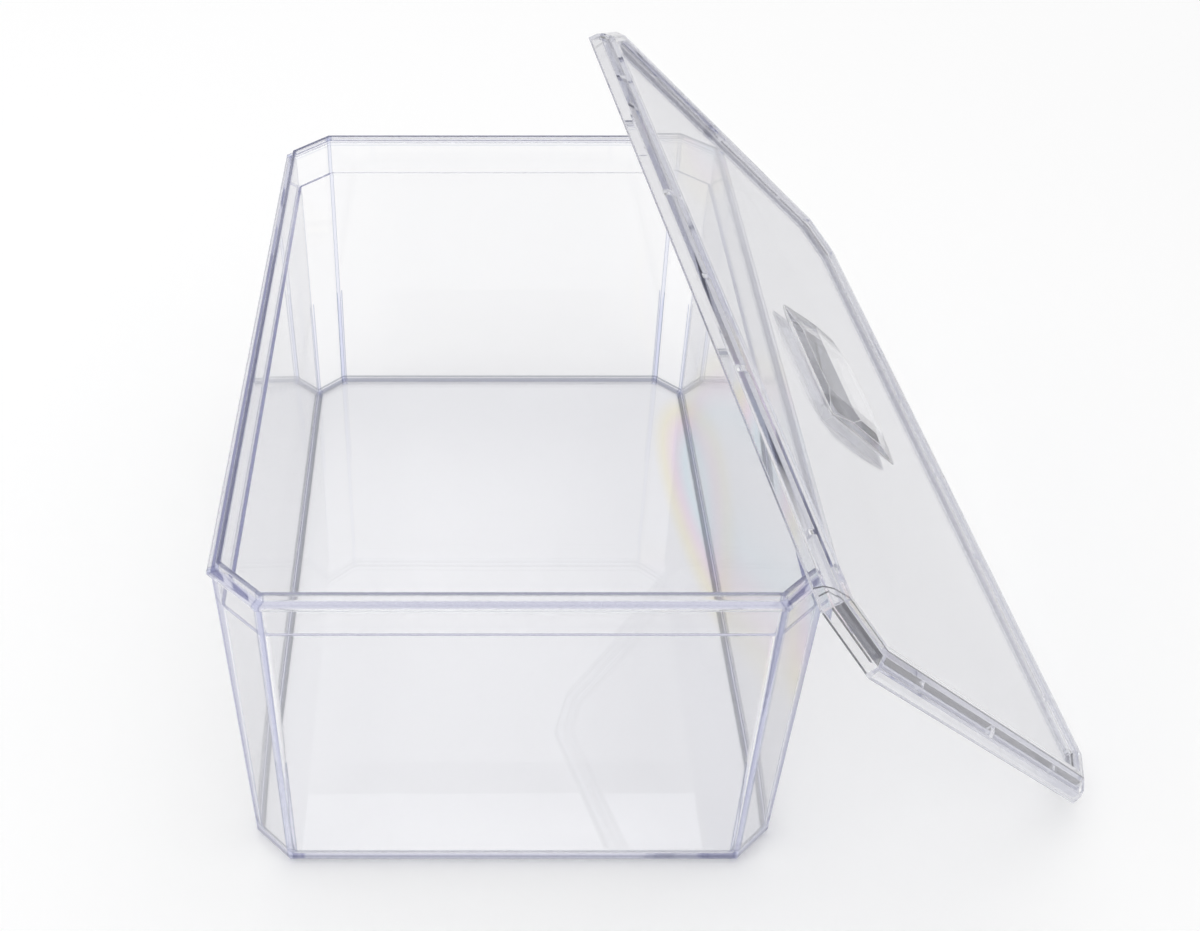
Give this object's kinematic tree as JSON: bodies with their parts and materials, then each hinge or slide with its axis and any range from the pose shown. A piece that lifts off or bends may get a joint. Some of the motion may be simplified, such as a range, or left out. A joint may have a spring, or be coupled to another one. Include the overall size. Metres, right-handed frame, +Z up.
{
  "type": "storage box with lid",
  "caption": "Clear oblong storage box with cut corners, drafted walls and a lipped rim, and a lift-off tray lid with a gem-cut grip that leans on its side.",
  "frame": {"origin": "centre of the box's base, on the surface it stands on", "axes": "+Z up, +Y along the box's long side, +X towards the side that the lid leans on"},
  "size_m": [0.2401, 0.2676, 0.1581],
  "materials": {
    "clear_box": "gloss",
    "clear_lid": "gloss",
    "clear_grip": "gloss"
  },
  "bodies": {
    "box": {"box": "clear_box"},
    "lid": {"lid": "clear_lid", "grip": "clear_grip"}
  },
  "joints": [
    {"name": "lid_lift", "type": "slide", "parent": "box", "child": "lid", "axis": [0, 0, 1], "range_m": [0, 0.12]}
  ]
}
